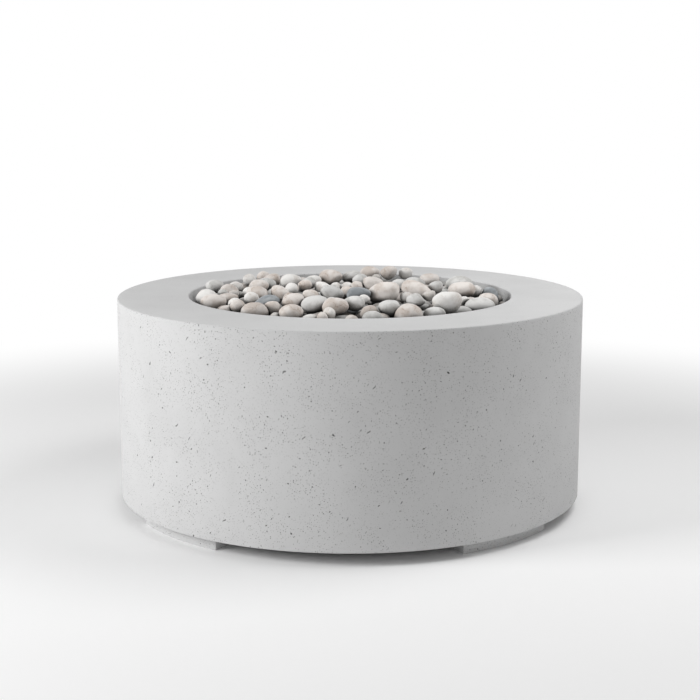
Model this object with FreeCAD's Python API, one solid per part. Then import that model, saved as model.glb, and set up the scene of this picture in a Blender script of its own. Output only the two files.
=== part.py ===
import FreeCAD, Part
import math
import os
import random

# Round gas fire pit table: a cast concrete drum on four arc feet, with a burner pan on an
# inner ledge, a bed of lava rock over the burner and rolled stones heaped up to the rim.
# Millimetres. The origin is on the floor, on the drum's axis. +Z is up, -Y is the front.

# Drum
drum_radius = 533.4
drum_height = 482.6
wall_thickness = 22.0
top_thickness = 26.0
edge_ease = 2.5
opening_radius = 371.0
collar_thickness = 20.0
ledge_drop = 100.0
ledge_width = 30.0
ledge_thickness = 18.0
base_return_width = 70.0
base_return_thickness = 26.0

# Feet
foot_height = 28.0
foot_inset = 24.0
foot_width = 46.0
foot_arc = 29.0
foot_count = 4
foot_first_angle = 45.0
foot_bolt_length = 34.0
bolt_shank_radius = 6.0
bolt_shank_sides = 8
bolt_hole_clearance = 0.6
bolt_head_flats = 19.0
bolt_head_height = 7.5
bolt_pocket_radius = 14.0
bolt_pocket_depth = 13.0
insert_flats = 19.0
insert_length = 20.0

# Burner pan and ring burner
pan_thickness = 2.0
pan_gap = 3.0
pan_sides = 40
pan_hole_radius = 14.0
pan_slot_count = 8
pan_slot_length = 40.0
pan_slot_width = 7.0
pan_slot_circle = 300.0
ring_radius = 228.0
ring_width = 18.0
ring_height = 16.0
ring_sides = 24
ring_port_count = 24
ring_port_length = 9.0
ring_port_width = 2.4
ring_port_depth = 4.0
cross_tube_width = 14.0
standoff_count = 4
standoff_height = 12.0
standoff_length = 22.0
hub_radius = 17.0
nipple_radius = 10.5
nipple_wall = 2.8
nipple_drop = 34.0
nut_flats = 32.0
nut_thickness = 8.0
washer_flats = 40.0
washer_thickness = 2.0

# Elbow, air mixer and jet under the pan
elbow_radius = 15.0
elbow_reach = 30.0
mixer_radius = 12.5
mixer_wall = 3.0
mixer_length = 64.0
mixer_window_length = 20.0
mixer_window_width = 11.0
jet_flats = 22.0
jet_length = 20.0
jet_bore_radius = 1.6
thread_engagement = 10.0
fit_clearance = 0.05
seat_gap = 0.3
fitting_sides = 12

# Key valve in the back wall
valve_height = 180.0
valve_setback = 64.0
valve_block = 34.0
valve_length = 66.0
inlet_radius = 9.25
inlet_depth = 17.0
valve_port_radius = 5.0
plug_radius = 9.5
plug_clearance = 0.05
plug_back = 16.0
cap_spigot = 6.5
cap_flats = 24.0
cap_thickness = 5.0
neck_radius = 11.0
neck_bore_radius = 8.2
neck_proud = 2.0
wall_hole_radius = 13.0
seat_radius = 33.0
seat_depth = 1.6
escutcheon_radius = 30.0
escutcheon_thickness = 4.0
escutcheon_edge = 1.3
escutcheon_sides = 32
lock_nut_flats = 34.0
lock_nut_thickness = 7.0
stem_radius = 5.0
stem_square = 8.0
stem_square_length = 13.0
stem_setback = 6.0
outlet_radius = 9.0
outlet_length = 14.0

# Gas line from the valve to the jet
line_radius = 6.5
line_bend_radius = 78.0
line_sides = 6
flare_nut_flats = 22.0
flare_nut_length = 20.0

# Key
key_clearance = 0.15
key_shaft_radius = 6.8
key_shaft_length = 58.0
key_socket_depth = 16.0
key_bow_length = 56.0
key_bow_height = 30.0
key_bow_thickness = 4.5
key_bow_rim = 8.0

# Lava rock and stones
bed_depth = 69.0
bed_gap = 4.0
bed_sides = 36
bed_ease = 9.0
pocket_gap = 5.0
pocket_sides = 24
stone_sides = 6
stone_gap = 0.3
stone_wall_gap = 5.0
stone_depth_share = 0.78
stone_depth_spread = (0.92, 1.1)
stone_corner_spread = (0.95, 1.04)
stone_cap_share = 0.52
stone_cap_height = 0.88
stone_waist_shift = 0.06
stone_turn = 28.0
stone_tilt = 9.0
settle_across = 6.0
settle_back = 16.0
low_stone_count = 92
low_stone_sides = 5
low_stone_lengths = (48.0, 66.0)
low_stone_heights = (24.0, 30.0)
low_stone_lean = 6.0
low_stone_wall_gap = 20.0
place_try_count = 120
stone_seed = 21

# Stones laid by hand: across, back, length, height, top, lean and tone. Across and back are
# shares of the way that the stone's length leaves between the axis and the collar, and top is
# the height above the rim that it should reach. The rim stones lie on the lava rock beside the
# collar, and the upper stones on the low ones that are scattered between them.
rim_stones = [
    (-0.95, -0.24, 60, 49, 20, -3, "pale"), (-0.88, -0.46, 58, 48, 18, -4, "warm"),
    (-0.74, -0.66, 46, 34, 5, 0, "warm"), (-0.57, -0.81, 64, 48, 20, 4, "warm"),
    (-0.40, -0.91, 32, 34, 5, 0, "pale"), (-0.44, -0.76, 36, 38, 15, 6, "warm"),
    (-0.30, -0.89, 54, 44, 18, 3, "warm"), (-0.21, -0.97, 44, 32, 4, 0, "pale"),
    (-0.13, -0.98, 30, 34, 8, 0, "warm"), (-0.07, -0.97, 32, 42, 15, -10, "pale"),
    (0.06, -0.99, 33, 34, 5, 0, "warm"), (0.19, -0.98, 48, 41, 12, 0, "grey"),
    (0.42, -0.90, 70, 52, 23, 0, "warm"), (0.57, -0.82, 50, 42, 14, 6, "grey"),
    (0.90, -0.43, 76, 42, 14, -4, "grey"), (0.93, -0.22, 56, 44, 16, 4, "warm"),
    (0.94, 0.06, 48, 44, 17, 5, "dark"),
]
upper_stones = [
    (-0.91, 0.14, 43, 34, 20, 0, "grey"), (-0.83, -0.04, 50, 33, 20, -8, "warm"),
    (-0.80, -0.19, 29, 23, 12, 0, "grey"), (-0.74, -0.11, 27, 21, 10, 8, "pale"),
    (-0.71, -0.57, 36, 28, 12, -6, "pale"), (-0.65, -0.66, 38, 30, 18, 0, "warm"),
    (-0.74, 0.47, 37, 29, 22, 0, "pale"), (-0.67, 0.63, 35, 27, 20, 8, "warm"),
    (-0.82, 0.24, 35, 27, 12, 6, "pale"), (-0.64, 0.19, 54, 36, 22, 10, "warm"),
    (-0.77, 0.20, 36, 28, 14, 5, "pale"), (-0.58, 0.29, 46, 30, 18, -14, "grey"),
    (-0.58, 0.46, 48, 32, 22, 6, "warm"), (-0.68, -0.02, 38, 30, 14, -16, "pale"),
    (-0.62, -0.25, 54, 36, 26, -10, "warm"), (-0.60, -0.39, 36, 28, 18, -8, "pale"),
    (-0.51, -0.65, 61, 40, 26, 8, "dark"), (-0.47, -0.26, 48, 32, 28, -24, "warm"),
    (-0.46, 0.33, 57, 38, 28, 10, "pale"), (-0.39, 0.06, 38, 30, 20, 12, "pale"),
    (-0.33, 0.16, 36, 28, 20, 10, "warm"), (-0.32, 0.33, 46, 30, 22, 12, "grey"),
    (-0.27, 0.43, 42, 33, 18, 8, "pale"), (-0.17, 0.58, 61, 40, 25, 4, "warm"),
    (-0.21, 0.14, 41, 32, 18, -18, "pale"), (-0.24, -0.22, 44, 29, 22, -20, "warm"),
    (-0.37, -0.27, 35, 27, 16, -10, "warm"), (-0.35, -0.62, 58, 38, 28, 4, "warm"),
    (-0.20, -0.72, 60, 40, 28, 5, "grey"), (-0.11, -0.20, 56, 37, 28, -8, "grey"),
    (-0.11, 0.23, 34, 27, 14, 0, "pale"), (-0.04, 0.09, 30, 23, 16, 0, "warm"),
    (-0.04, 0.69, 51, 34, 24, 4, "grey"), (0.06, 0.54, 47, 31, 21, -6, "grey"),
    (-0.02, 0.31, 34, 27, 14, -10, "pale"), (0.06, 0.23, 36, 28, 18, -20, "warm"),
    (0.06, -0.33, 55, 36, 30, 8, "dark"), (-0.09, -0.48, 34, 27, 14, 0, "pale"),
    (0.10, -0.45, 29, 23, 18, 10, "pale"), (-0.03, -0.88, 60, 40, 28, 6, "warm"),
    (0.04, -0.76, 51, 34, 26, 8, "grey"), (0.17, -0.83, 41, 32, 15, 0, "warm"),
    (0.25, -0.32, 78, 50, 42, 14, "warm"), (0.29, -0.76, 57, 38, 25, -6, "grey"),
    (0.44, -0.47, 47, 31, 22, 2, "grey"), (0.38, -0.23, 31, 24, 16, 0, "pale"),
    (0.34, 0.22, 45, 30, 24, 12, "grey"), (0.48, -0.01, 74, 42, 30, -16, "warm"),
    (0.59, 0.12, 38, 30, 28, 14, "grey"), (0.42, 0.46, 55, 36, 18, 4, "grey"),
    (0.54, 0.59, 53, 35, 20, 10, "warm"), (0.17, 0.30, 60, 40, 26, -18, "warm"),
    (0.14, 0.75, 29, 23, 10, 0, "pale"), (0.10, 0.88, 54, 36, 24, 6, "warm"),
    (0.24, 0.82, 43, 34, 30, 14, "warm"), (0.34, 0.88, 38, 30, 24, 8, "pale"),
    (0.52, -0.40, 31, 24, 26, 18, "pale"), (0.65, -0.75, 69, 50, 39, 4, "pale"),
    (0.75, 0.40, 70, 38, 22, 8, "grey"), (0.76, -0.09, 64, 38, 24, 2, "warm"),
    (0.82, 0.11, 36, 28, 18, 8, "pale"), (0.73, -0.36, 26, 20, 12, 0, "pale"),
]
tones = ("pale", "warm", "grey", "dark")
tone_weights = (0.27, 0.42, 0.25, 0.06)

# Levels and places that follow from the sizes above
base_level = foot_height
ledge_level = drum_height - ledge_drop
pan_level = ledge_level + pan_thickness
bed_level = pan_level + bed_depth
ring_level = pan_level + standoff_height
foot_outer = drum_radius - foot_inset
foot_inner = foot_outer - foot_width
foot_middle = (foot_outer + foot_inner) / 2
elbow_level = ledge_level - nipple_drop - elbow_radius
wall_inner = drum_radius - wall_thickness
valve_y = wall_inner - valve_setback
valve_low = valve_height - valve_length / 2
valve_high = valve_height + valve_length / 2
seat_y = drum_radius - seat_depth
neck_end = seat_y + neck_proud
stem_end = neck_end - stem_setback

UP = FreeCAD.Vector(0, 0, 1)
BACK = FreeCAD.Vector(0, 1, 0)
RIGHT = FreeCAD.Vector(1, 0, 0)
AXIS = FreeCAD.Vector(0, 0, 0)


def vec(x, y, z):
    return FreeCAD.Vector(x, y, z)


def save(name, solids):
    """Write one node as a STEP file: a single solid, or a group of separate solids."""
    shape = solids[0] if len(solids) == 1 else Part.makeCompound(solids)
    shape.exportStep("parts/" + name + ".step")
    print(name, len(solids), "solids", round(sum(s.Volume for s in solids) / 1000, 1), "cm3")


def revolved(profile, degrees=360.0):
    """Turn a closed outline of (radius, height) points about the drum's axis."""
    points = [vec(r, 0, z) for r, z in profile]
    face = Part.Face(Part.makePolygon(points + points[:1]))
    return face.revolve(AXIS, UP, degrees)


def rod(radius, length, start, direction=UP):
    return Part.makeCylinder(radius, length, start, direction)


def block(size_x, size_y, size_z, centre):
    corner = centre - vec(size_x / 2, size_y / 2, size_z / 2)
    return Part.makeBox(size_x, size_y, size_z, corner)


def ring_points(radius, sides, z):
    points = []
    for i in range(sides):
        a = 2 * math.pi * (i + 0.5) / sides
        points.append(vec(radius * math.cos(a), radius * math.sin(a), z))
    return points


def prism(radius, sides, length, start, direction=UP):
    """A many-sided bar, radius to its corners, from start along direction."""
    points = ring_points(radius, sides, 0)
    bar = Part.Face(Part.makePolygon(points + points[:1])).extrude(vec(0, 0, length))
    bar.Placement = FreeCAD.Placement(start, FreeCAD.Rotation(UP, direction))
    return bar


def hexagon(flats, length, start, direction=UP):
    return prism(flats / math.sqrt(3), 6, length, start, direction)


def fitting(radius, length, start, direction=UP):
    """A small round fitting, or its bore, as a bar of many sides."""
    return prism(radius, fitting_sides, length, start, direction)


def turned(shape, degrees):
    copy = shape.copy()
    copy.rotate(AXIS, UP, degrees)
    return copy


def spaced(count, first=0.0):
    return [first + 360.0 * i / count for i in range(count)]


def make_shell():
    """The drum: wall, top ring, collar with its ledge, and the return that the feet bolt to."""
    top = drum_height
    under_top = top - top_thickness
    collar_outer = opening_radius + collar_thickness
    ledge_inner = opening_radius - ledge_width
    ledge_under = ledge_level - ledge_thickness
    return_top = base_level + base_return_thickness
    return_inner = drum_radius - base_return_width
    shell = revolved([
        (drum_radius, base_level),
        (drum_radius, top - edge_ease),
        (drum_radius - edge_ease, top),
        (opening_radius + edge_ease, top),
        (opening_radius, top - edge_ease),
        (opening_radius, ledge_level),
        (ledge_inner, ledge_level),
        (ledge_inner, ledge_under),
        (collar_outer, ledge_under),
        (collar_outer, under_top),
        (wall_inner, under_top),
        (wall_inner, return_top),
        (return_inner, return_top),
        (return_inner, base_level),
    ])
    hole_start = vec(0, wall_inner - wall_thickness, valve_height)
    valve_hole = rod(wall_hole_radius, 4 * wall_thickness, hole_start, BACK)
    valve_seat = rod(seat_radius, wall_thickness, vec(0, seat_y, valve_height), BACK)
    shell = shell.cut(valve_hole).cut(valve_seat)
    pocket = hexagon(insert_flats + 2 * fit_clearance, insert_length, vec(foot_middle, 0, base_level))
    for angle in spaced(foot_count, foot_first_angle):
        shell = shell.cut(turned(pocket, angle))
    return shell


def make_foot(middle):
    """One arc foot with radial ends and a counterbored bolt hole."""
    profile = [(foot_inner, 0), (foot_outer, 0), (foot_outer, foot_height), (foot_inner, foot_height)]
    foot = turned(revolved(profile, foot_arc), -foot_arc / 2)
    base = vec(foot_middle, 0, 0)
    hole = prism(bolt_shank_radius + bolt_hole_clearance, bolt_shank_sides, foot_height, base)
    pocket = prism(bolt_pocket_radius, bolt_shank_sides, bolt_pocket_depth, base)
    return turned(foot.cut(hole).cut(pocket), middle)


def make_foot_bolts():
    """A hexagon-headed bolt up through each foot."""
    seat = vec(foot_middle, 0, bolt_pocket_depth)
    head = hexagon(bolt_head_flats, bolt_head_height, seat - vec(0, 0, bolt_head_height))
    shank = prism(bolt_shank_radius, bolt_shank_sides, foot_bolt_length, seat)
    return [turned(head.fuse(shank), angle) for angle in spaced(foot_count, foot_first_angle)]


def make_inserts():
    """Threaded sleeves cast into the drum's return, one for each foot bolt."""
    base = vec(foot_middle, 0, base_level)
    sleeve = hexagon(insert_flats, insert_length, base)
    bore = prism(bolt_shank_radius + fit_clearance, bolt_shank_sides, insert_length, base)
    return [turned(sleeve.cut(bore), angle) for angle in spaced(foot_count, foot_first_angle)]


def make_pan():
    """A flat stainless plate on the ledge, with a centre hole and drain slots."""
    pan = prism(opening_radius - pan_gap, pan_sides, pan_thickness, vec(0, 0, ledge_level))
    pan = pan.cut(fitting(pan_hole_radius, pan_thickness, vec(0, 0, ledge_level)))
    slot = block(pan_slot_length, pan_slot_width, 4 * pan_thickness, vec(pan_slot_circle, 0, ledge_level))
    for angle in spaced(pan_slot_count):
        pan = pan.cut(turned(slot, angle))
    return pan


def make_burner():
    """The ring burner: a ported ring, two cross tubes and the hub that feeds them."""
    inner = ring_radius - ring_width / 2
    outer = ring_radius + ring_width / 2
    high = ring_level + ring_height
    base = vec(0, 0, ring_level)
    burner = prism(outer, ring_sides, ring_height, base).cut(prism(inner, ring_sides, ring_height, base))
    middle = vec(0, 0, ring_level + cross_tube_width / 2)
    burner = burner.fuse(block(2 * ring_radius, cross_tube_width, cross_tube_width, middle))
    burner = burner.fuse(block(cross_tube_width, 2 * ring_radius, cross_tube_width, middle))
    hub_base = vec(0, 0, pan_level + washer_thickness)
    burner = burner.fuse(fitting(hub_radius, high - hub_base.z, hub_base))
    burner = burner.cut(fitting(nipple_radius + fit_clearance, thread_engagement, hub_base))
    port = block(ring_port_length, ring_port_width, 2 * ring_port_depth, vec(ring_radius, 0, high))
    ports = [turned(port, angle) for angle in spaced(ring_port_count, 180.0 / ring_port_count)]
    return burner.cut(ports).removeSplitter()


def make_standoffs():
    """Four blocks that hold the ring clear of the pan."""
    middle = vec(ring_radius, 0, pan_level + standoff_height / 2)
    standoff = block(ring_width, standoff_length, standoff_height, middle)
    return [turned(standoff, angle) for angle in spaced(standoff_count, 180.0 / standoff_count)]


def make_nipple():
    """The threaded pipe from the hub down through the pan into the elbow."""
    high = pan_level + washer_thickness + thread_engagement
    low = elbow_level + elbow_radius - thread_engagement / 2
    nipple = fitting(nipple_radius, high - low, vec(0, 0, low))
    return nipple.cut(fitting(nipple_radius - nipple_wall, high - low, vec(0, 0, low)))


def make_nut(flats, thickness, bore, start, direction=UP):
    nut = hexagon(flats, thickness, start, direction)
    return nut.cut(fitting(bore, thickness, start, direction))


def make_elbow():
    """A cast elbow that turns the gas from the mixer up into the nipple."""
    low = elbow_level - elbow_radius
    high = elbow_level + elbow_radius + thread_engagement / 2
    mouth = vec(0, -elbow_radius, elbow_level)
    elbow = fitting(elbow_radius, high - low, vec(0, 0, low))
    elbow = elbow.fuse(fitting(elbow_radius, elbow_reach + elbow_radius, mouth, BACK))
    bore_down = fitting(nipple_radius + fit_clearance, high - elbow_level, vec(0, 0, elbow_level))
    bore_back = fitting(nipple_radius - nipple_wall, elbow_reach, vec(0, 0, elbow_level), BACK)
    seat = fitting(mixer_radius - mixer_wall + fit_clearance, thread_engagement,
                   vec(0, elbow_reach - thread_engagement, elbow_level), BACK)
    return elbow.cut(bore_down).cut(bore_back).cut(seat)


def make_mixer():
    """The air mixer: a sleeve with four air windows, spigoted into the elbow."""
    start = vec(0, elbow_reach, elbow_level)
    spigot_radius = mixer_radius - mixer_wall
    spigot = vec(0, elbow_reach - thread_engagement, elbow_level)
    mixer = fitting(mixer_radius, mixer_length, start, BACK)
    mixer = mixer.fuse(fitting(spigot_radius, thread_engagement, spigot, BACK))
    mixer = mixer.cut(fitting(spigot_radius - mixer_wall, mixer_length + thread_engagement, spigot, BACK))
    middle = vec(0, elbow_reach + mixer_length / 2, elbow_level)
    across = block(4 * mixer_radius, mixer_window_length, mixer_window_width, middle)
    upright = block(mixer_window_width, mixer_window_length, 4 * mixer_radius, middle)
    return mixer.cut(across).cut(upright)


def make_jet():
    """The brass jet: a spigot in the mixer, a hexagon and a fine bore."""
    start = vec(0, elbow_reach + mixer_length, elbow_level)
    spigot = start - vec(0, thread_engagement, 0)
    jet = hexagon(jet_flats, jet_length, start, BACK)
    jet = jet.fuse(fitting(mixer_radius - 2 * mixer_wall - fit_clearance, thread_engagement, spigot, BACK))
    return jet.cut(hexagon(2 * jet_bore_radius, jet_length + thread_engagement, spigot, BACK))


def line_ends():
    """Where the gas line starts at the valve's outlet nut and ends at the jet's nut."""
    low = vec(0, valve_y, valve_high + outlet_length + flare_nut_length)
    far = vec(0, elbow_reach + mixer_length + jet_length + flare_nut_length, elbow_level)
    return low, far


def make_gas_line():
    """One tube: up from the valve, round a wide bend, and forward to the jet."""
    low, far = line_ends()
    bend_start = vec(0, low.y, far.z - line_bend_radius)
    bend_end = vec(0, low.y - line_bend_radius, far.z)
    share = line_bend_radius * (1 - math.sqrt(0.5))
    bend_middle = vec(0, low.y - share, far.z - share)
    path = Part.Wire([
        Part.LineSegment(low, bend_start).toShape(),
        Part.Arc(bend_start, bend_middle, bend_end).toShape(),
        Part.LineSegment(bend_end, far).toShape(),
    ])
    corners = [low + p for p in ring_points(line_radius, line_sides, 0)]
    section = Part.makePolygon(corners + corners[:1])
    line = path.makePipeShell([section], True, False)
    print("gas line", round(path.Length), "mm, bend radius", line_bend_radius)
    return line


def make_flare_nuts():
    """The two nuts that hold the gas line, one on the valve and one on the jet."""
    low, far = line_ends()
    at_valve = hexagon(flare_nut_flats, flare_nut_length, low - vec(0, 0, flare_nut_length))
    at_jet = hexagon(flare_nut_flats, flare_nut_length, far - vec(0, flare_nut_length, 0), BACK)
    return [at_valve, at_jet]


def make_valve_body():
    """The brass key valve: inlet below, outlet above, and a threaded neck through the wall."""
    body = block(valve_block, valve_block, valve_length, vec(0, valve_y, valve_height))
    body = body.fuse(fitting(outlet_radius, outlet_length, vec(0, valve_y, valve_high)))
    body = body.fuse(fitting(neck_radius, neck_end - valve_y, vec(0, valve_y, valve_height), BACK))
    inlet = rod(inlet_radius, inlet_depth, vec(0, valve_y, valve_low))
    port = fitting(valve_port_radius, valve_length + outlet_length, vec(0, valve_y, valve_low))
    front = vec(0, valve_y - valve_block / 2, valve_height)
    chamber = rod(plug_radius + plug_clearance, valve_block / 2 + plug_back, front, BACK)
    stem_bore = fitting(neck_bore_radius, neck_end - valve_y, vec(0, valve_y, valve_height), BACK)
    return body.cut(inlet).cut(port).cut(chamber).cut(stem_bore)


def make_valve_plug():
    """The turning plug with its cross port, its stem and the square that the key fits."""
    front = valve_y - valve_block / 2 + cap_spigot + seat_gap
    plug = rod(plug_radius, valve_y + plug_back - seat_gap - front, vec(0, front, valve_height), BACK)
    port = fitting(valve_port_radius, 4 * plug_radius, vec(-2 * plug_radius, valve_y, valve_height), RIGHT)
    plug = plug.cut(port)
    square_start = stem_end - stem_square_length
    stem = fitting(stem_radius, square_start - front, vec(0, front, valve_height), BACK)
    plug = plug.fuse(stem.cut(port))
    middle = vec(0, stem_end - stem_square_length / 2, valve_height)
    return plug.fuse(block(stem_square, stem_square_length, stem_square, middle))


def make_valve_cap():
    """The hexagon cap that closes the valve's front and keeps the plug in."""
    face = vec(0, valve_y - valve_block / 2, valve_height)
    cap = hexagon(cap_flats, cap_thickness, face - vec(0, cap_thickness, 0), BACK)
    return cap.fuse(fitting(plug_radius, cap_spigot, face, BACK))


def make_escutcheon():
    """A shallow dished plate screwed on the neck, bearing on the flat seat in the wall."""
    back = vec(0, seat_y, valve_height)
    plate = prism(escutcheon_radius, escutcheon_sides, escutcheon_edge, back, BACK)
    low = ring_points(escutcheon_radius, escutcheon_sides, escutcheon_edge)
    high = ring_points(escutcheon_radius / 2, escutcheon_sides, escutcheon_thickness)
    dish = frustum(low, high)
    dish.Placement = FreeCAD.Placement(back, FreeCAD.Rotation(UP, BACK))
    plate = plate.fuse(dish).removeSplitter()
    return plate.cut(fitting(neck_radius + fit_clearance, escutcheon_thickness, back, BACK))


def make_lock_nut():
    """The nut inside the wall; it bears on the wall's curve at its corners."""
    corner = lock_nut_flats / math.sqrt(3)
    bearing = math.sqrt(wall_inner ** 2 - corner ** 2) - seat_gap
    start = vec(0, bearing - lock_nut_thickness, valve_height)
    return make_nut(lock_nut_flats, lock_nut_thickness, neck_radius + fit_clearance, start, BACK)


def make_key():
    """The loose key: a round shaft with a square socket and a flat looped bow."""
    start = vec(0, stem_end - stem_square_length + seat_gap, valve_height)
    shaft = rod(key_shaft_radius, key_shaft_length, start, BACK)
    size = stem_square + 2 * key_clearance
    socket = block(size, key_socket_depth, size, start + vec(0, key_socket_depth / 2, 0))
    bow_middle = start + vec(0, key_shaft_length + key_bow_height / 2 - key_bow_rim / 2, 0)
    bow = stadium(key_bow_length, key_bow_height, key_bow_thickness, bow_middle)
    rim = 2 * key_bow_rim
    hole = stadium(key_bow_length - rim, key_bow_height - rim, 2 * key_bow_thickness, bow_middle)
    return shaft.fuse(bow).cut(socket).cut(hole)


def stadium(length, height, thickness, middle):
    """A round-ended plate, long along X and high along Y, centred on middle."""
    radius = height / 2
    side = length / 2 - radius
    low = thickness / 2
    plate = block(2 * side, height, thickness, middle)
    for end in (-side, side):
        plate = plate.fuse(prism(radius, 2 * fitting_sides, thickness, middle + vec(end, 0, -low)))
    return plate.removeSplitter()


def solid_from(vertices, faces):
    """A closed solid from vertices and faces, each face a list of vertex numbers."""
    shapes = []
    for face in faces:
        points = [vec(*vertices[i]) for i in face]
        shapes.append(Part.Face(Part.makePolygon(points + points[:1])))
    return Part.Solid(Part.Shell(shapes))


def frustum(low, high):
    """The solid between two like rings of corners, the upper one drawn in."""
    count = len(low)
    faces = [list(range(count))[::-1], list(range(count, 2 * count))]
    for i in range(count):
        j = (i + 1) % count
        faces.append([i, j, count + j, count + i])
    return solid_from([tuple(p) for p in low + high], faces)


def make_bed():
    """Lava rock as poured: it fills the collar, with a channel that keeps it off the burner."""
    radius = opening_radius - bed_gap
    bed = prism(radius, bed_sides, bed_depth - bed_ease, vec(0, 0, pan_level))
    low = ring_points(radius, bed_sides, bed_level - bed_ease)
    high = ring_points(radius - bed_ease, bed_sides, bed_level)
    bed = bed.fuse(frustum(low, high)).removeSplitter()
    pocket_outer = (ring_radius + ring_width / 2 + pocket_gap) / math.cos(math.pi / pocket_sides)
    pocket_inner = ring_radius - ring_width / 2 - pocket_gap
    height = standoff_height + ring_height + pocket_gap
    base = vec(0, 0, pan_level)
    core = prism(pocket_inner, pocket_sides, height, base)
    width = cross_tube_width + 2 * pocket_gap
    middle = base + vec(0, 0, height / 2)
    core = core.cut(block(2 * pocket_outer, width, height, middle))
    core = core.cut(block(width, 2 * pocket_outer, height, middle))
    core = core.cut(hexagon(washer_flats + 2 * pocket_gap, height, base))
    return bed.cut(prism(pocket_outer, pocket_sides, height, base).cut(core))


class Stone:
    """A rolled stone as a convex solid: three like rings of corners, the outer one widest."""

    def __init__(self, chance, length, height, lean, tone, sides=stone_sides):
        self.tone = tone
        self.radius = length / 2
        self.place = [0.0, 0.0, 0.0]
        depth = length * stone_depth_share * chance.uniform(*stone_depth_spread)
        shape = [chance.uniform(*stone_corner_spread) for _ in range(sides)]
        start = chance.uniform(0, 2 * math.pi)
        cap = stone_cap_height * height / 2
        waist = chance.uniform(-stone_waist_shift, stone_waist_shift) * height
        rings = [(-cap, stone_cap_share), (waist, 1.0), (cap, stone_cap_share)]
        turn = math.radians(chance.uniform(-stone_turn, stone_turn))
        tilt = math.radians(chance.uniform(-stone_tilt, stone_tilt))
        roll = math.radians(lean)
        self.corners = []
        for z, share in rings:
            for i in range(sides):
                a = start + 2 * math.pi * i / sides
                x = share * shape[i] * length / 2 * math.cos(a)
                y = share * shape[i] * depth / 2 * math.sin(a)
                self.corners.append(leaned(x, y, z, turn, tilt, roll))
        self.faces = stone_faces(sides)
        self.span = self.reach(0, 0)
        self.low = min(c[2] for c in self.corners)
        self.high = max(c[2] for c in self.corners)
        self.planes = [plane_of(self.corners, face) for face in self.faces]
        self.edges = stone_edges(self.faces)

    def top_at(self, x, y):
        return min(height_on(p, x, y) for p in self.planes if p[2] > 1e-6)

    def bottom_at(self, x, y):
        return max(height_on(p, x, y) for p in self.planes if p[2] < -1e-6)

    def over(self, x, y):
        """The stone's upper and lower height on the upright line at x, y, or None beside it."""
        top = self.top_at(x, y)
        bottom = self.bottom_at(x, y)
        return (bottom, top) if bottom <= top else None

    def reach(self, x, y):
        return max(math.hypot(c[0] + x, c[1] + y) for c in self.corners)

    def solid(self):
        shape = solid_from(self.corners, self.faces)
        shape.translate(vec(*self.place))
        return shape


def leaned(x, y, z, turn, tilt, roll):
    """Roll about the depth axis, tilt about the length axis, then turn about the upright."""
    x, z = x * math.cos(roll) - z * math.sin(roll), x * math.sin(roll) + z * math.cos(roll)
    y, z = y * math.cos(tilt) - z * math.sin(tilt), y * math.sin(tilt) + z * math.cos(tilt)
    x, y = x * math.cos(turn) - y * math.sin(turn), x * math.sin(turn) + y * math.cos(turn)
    return (x, y, z)


def stone_faces(n):
    faces = [list(range(n - 1, -1, -1)), list(range(2 * n, 3 * n))]
    for ring in (0, n):
        for i in range(n):
            j = (i + 1) % n
            faces.append([ring + i, ring + j, ring + n + j, ring + n + i])
    return faces


def stone_edges(faces):
    edges = set()
    for face in faces:
        for i, a in enumerate(face):
            b = face[(i + 1) % len(face)]
            edges.add((min(a, b), max(a, b)))
    return sorted(edges)


def plane_of(corners, face):
    """A face's outward normal and its distance from the origin, as (nx, ny, nz, d)."""
    a, b, c = (corners[face[i]] for i in (0, 1, 2))
    u = [b[i] - a[i] for i in range(3)]
    v = [c[i] - a[i] for i in range(3)]
    n = (u[1] * v[2] - u[2] * v[1], u[2] * v[0] - u[0] * v[2], u[0] * v[1] - u[1] * v[0])
    return (n[0], n[1], n[2], n[0] * a[0] + n[1] * a[1] + n[2] * a[2])


def height_on(plane, x, y):
    return (plane[3] - plane[0] * x - plane[1] * y) / plane[2]


def crossing_gap(a, b, c, d):
    """How far edge a-b lies above edge c-d where they cross in plan, or None."""
    ux, uy = b[0] - a[0], b[1] - a[1]
    vx, vy = d[0] - c[0], d[1] - c[1]
    cross = ux * vy - uy * vx
    if abs(cross) < 1e-9:
        return None
    wx, wy = c[0] - a[0], c[1] - a[1]
    s = (wx * vy - wy * vx) / cross
    t = (wx * uy - wy * ux) / cross
    if s < 0 or s > 1 or t < 0 or t > 1:
        return None
    return a[2] + s * (b[2] - a[2]) - c[2] - t * (d[2] - c[2])


def lift_over(stone, x, y, other):
    """The least height of stone's middle at x, y that keeps it clear of the stone below."""
    dx, dy = x - other.place[0], y - other.place[1]
    lift = None
    for c in stone.corners:
        span = other.over(c[0] + dx, c[1] + dy)
        if span:
            lift = span[1] - c[2] if lift is None else max(lift, span[1] - c[2])
    for c in other.corners:
        span = stone.over(c[0] - dx, c[1] - dy)
        if span:
            lift = c[2] - span[0] if lift is None else max(lift, c[2] - span[0])
    moved = [(c[0] + dx, c[1] + dy, c[2]) for c in stone.corners]
    for i, j in stone.edges:
        for k, m in other.edges:
            gap = crossing_gap(moved[i], moved[j], other.corners[k], other.corners[m])
            if gap is not None:
                lift = -gap if lift is None else max(lift, -gap)
    return None if lift is None else other.place[2] + lift


def resting_height(stone, x, y, heap):
    """Lower the stone at x, y until it is just clear of the bed and of every stone."""
    height = bed_level - stone.low
    for other in heap:
        if math.hypot(x - other.place[0], y - other.place[1]) < stone.span + other.span:
            lift = lift_over(stone, x, y, other)
            if lift is not None:
                height = max(height, lift)
    return height + stone_gap


def room_at(x, y, radius, heap):
    if not heap:
        return 0.0
    return min(math.hypot(x - s.place[0], y - s.place[1]) - s.radius for s in heap) - radius


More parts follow.
